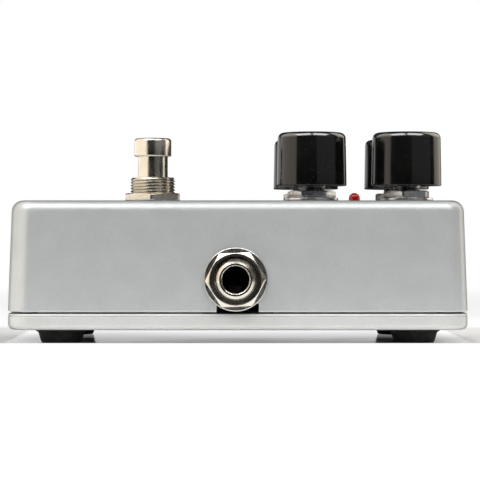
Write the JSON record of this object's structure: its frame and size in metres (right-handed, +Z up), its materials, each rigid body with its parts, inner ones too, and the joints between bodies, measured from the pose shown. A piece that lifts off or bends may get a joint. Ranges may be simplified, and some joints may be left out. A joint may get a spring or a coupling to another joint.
{
  "type": "guitar effects pedal",
  "caption": "Compact cast metal effects pedal with a latching footswitch, turning control knobs, side audio jacks, an end power jack, an indicator light and rubber feet.",
  "frame": {"origin": "centre of the footprint, on the plane the rubber feet rest on", "axes": "+X from the footswitch end to the knob end, -Y towards the input jack side, +Z up"},
  "size_m": [0.116, 0.0792, 0.0539],
  "materials": {
    "shell_metal": "satin silver finish over a die cast box",
    "cover_metal": "satin silver finish on the die cast bottom cover",
    "screw_steel": "bright zinc",
    "foot_rubber": "matt black",
    "bushing_nickel": "nickel plate",
    "frame_steel": "plated sheet steel",
    "switch_plastic": "moulded blue plastic",
    "terminal_board": "brown laminate",
    "terminal_tin": "tinned",
    "contact_bronze": "phosphor bronze",
    "spring_steel": "bright wire",
    "button_nickel": "nickel plate",
    "nut_nickel": "nickel plate",
    "washer_nickel": "nickel plate",
    "wire_grey": "insulated wire",
    "knob_plastic": "semi gloss black moulding",
    "pointer_white": "white fill",
    "shaft_metal": "turned",
    "can_metal": "plated sheet",
    "bushing_brass": "nickel plated brass",
    "element_laminate": "brown laminate",
    "pin_tin": "tinned",
    "pot_nut_nickel": "nickel plate",
    "pot_washer_nickel": "nickel plate",
    "jack_plastic": "moulded black plastic",
    "jack_nickel": "nickel plate",
    "jack_nut_nickel": "nickel plate",
    "jack_washer_nickel": "nickel plate",
    "contact_leaf": "plated bronze leaf",
    "jack_pin_tin": "tinned",
    "power_plastic": "moulded black plastic",
    "power_pin_nickel": "nickel plate",
    "power_leaf": "plated bronze leaf",
    "lens_red": "tinted clear epoxy",
    "lead_tin": "tinned",
    "spacer_plastic": "moulded black plastic",
    "board_green": "green solder mask",
    "chip_epoxy": "black epoxy",
    "capacitor_sleeve": "blue sleeve",
    "film_box": "red box",
    "resistor_lacquer": "tan lacquer",
    "battery_case": "plain dark case",
    "battery_stud": "plated",
    "clip_plastic": "black plastic",
    "wire_red": "insulated wire",
    "wire_black": "insulated wire",
    "foam_grey": "soft foam"
  },
  "bodies": {
    "pedal": {"enclosure_shell": "shell_metal", "base_plate": "cover_metal", "base_plate_screws": "screw_steel", "rubber_feet": "foot_rubber", "footswitch_bushing": "bushing_nickel", "footswitch_frame": "frame_steel", "footswitch_housing": "switch_plastic", "footswitch_terminal_base": "terminal_board", "footswitch_terminals": "terminal_tin", "footswitch_rockers": "contact_bronze", "footswitch_spring": "spring_steel", "footswitch_nuts": "nut_nickel", "footswitch_washers": "washer_nickel", "footswitch_wires": "wire_grey", "pot_cans": "can_metal", "pot_bushings": "bushing_brass", "pot_elements": "element_laminate", "pot_pins": "pin_tin", "pot_nuts": "pot_nut_nickel", "pot_washers": "pot_washer_nickel", "input_jack_housing": "jack_plastic", "output_jack_housing": "jack_plastic", "input_jack_bushing": "jack_nickel", "output_jack_bushing": "jack_nickel", "jack_nuts": "jack_nut_nickel", "jack_washers": "jack_washer_nickel", "jack_terminals": "jack_pin_tin", "power_jack_housing": "power_plastic", "power_jack_pin": "power_pin_nickel", "led_lens": "lens_red", "led_leads": "lead_tin", "led_spacer": "spacer_plastic", "circuit_board": "board_green", "integrated_circuits": "chip_epoxy", "electrolytic_capacitors": "capacitor_sleeve", "film_capacitors": "film_box", "resistors": "resistor_lacquer", "battery": "battery_case", "battery_terminals": "battery_stud", "battery_clip": "clip_plastic", "battery_wire_red": "wire_red", "battery_wire_black": "wire_black", "foam_pad": "foam_grey"},
    "control_front_left": {"knob_front_left": "knob_plastic", "pointer_front_left": "pointer_white", "pot_shaft_front_left": "shaft_metal"},
    "control_front_right": {"knob_front_right": "knob_plastic", "pointer_front_right": "pointer_white", "pot_shaft_front_right": "shaft_metal"},
    "control_back_left": {"knob_back_left": "knob_plastic", "pointer_back_left": "pointer_white", "pot_shaft_back_left": "shaft_metal"},
    "control_back_right": {"knob_back_right": "knob_plastic", "pointer_back_right": "pointer_white", "pot_shaft_back_right": "shaft_metal"},
    "button": {"footswitch_plunger": "button_nickel"},
    "input_contact": {"input_tip_spring": "contact_leaf"},
    "output_contact": {"output_tip_spring": "contact_leaf"},
    "power_contact": {"power_jack_spring": "power_leaf"}
  },
  "joints": [
    {"name": "turn_front_left", "type": "hinge", "parent": "pedal", "child": "control_front_left", "pos_m": [0.01905, -0.02, 0.0402], "axis": [0, 0, 1], "range_deg": [-150, 150]},
    {"name": "turn_front_right", "type": "hinge", "parent": "pedal", "child": "control_front_right", "pos_m": [0.04345, -0.02, 0.0402], "axis": [0, 0, 1], "range_deg": [-150, 150]},
    {"name": "turn_back_left", "type": "hinge", "parent": "pedal", "child": "control_back_left", "pos_m": [0.0189, 0.02, 0.0402], "axis": [0, 0, 1], "range_deg": [-150, 150]},
    {"name": "turn_back_right", "type": "hinge", "parent": "pedal", "child": "control_back_right", "pos_m": [0.0442, 0.02, 0.0402], "axis": [0, 0, 1], "range_deg": [-150, 150]},
    {"name": "press_button", "type": "slide", "parent": "pedal", "child": "button", "axis": [0, 0, -1], "range_m": [0, 0.0035], "deforming": ["footswitch_spring"]},
    {"name": "flex_input_contact", "type": "hinge", "parent": "pedal", "child": "input_contact", "pos_m": [-0.0005, -0.027, 0.0123], "axis": [-1, 0, 0], "range_deg": [0, 5]},
    {"name": "flex_output_contact", "type": "hinge", "parent": "pedal", "child": "output_contact", "pos_m": [-0.0005, 0.027, 0.0123], "axis": [1, 0, 0], "range_deg": [0, 5]},
    {"name": "flex_power_contact", "type": "hinge", "parent": "pedal", "child": "power_contact", "pos_m": [0.04445, 0, 0.0124], "axis": [0, 1, 0], "range_deg": [0, 3]}
  ]
}
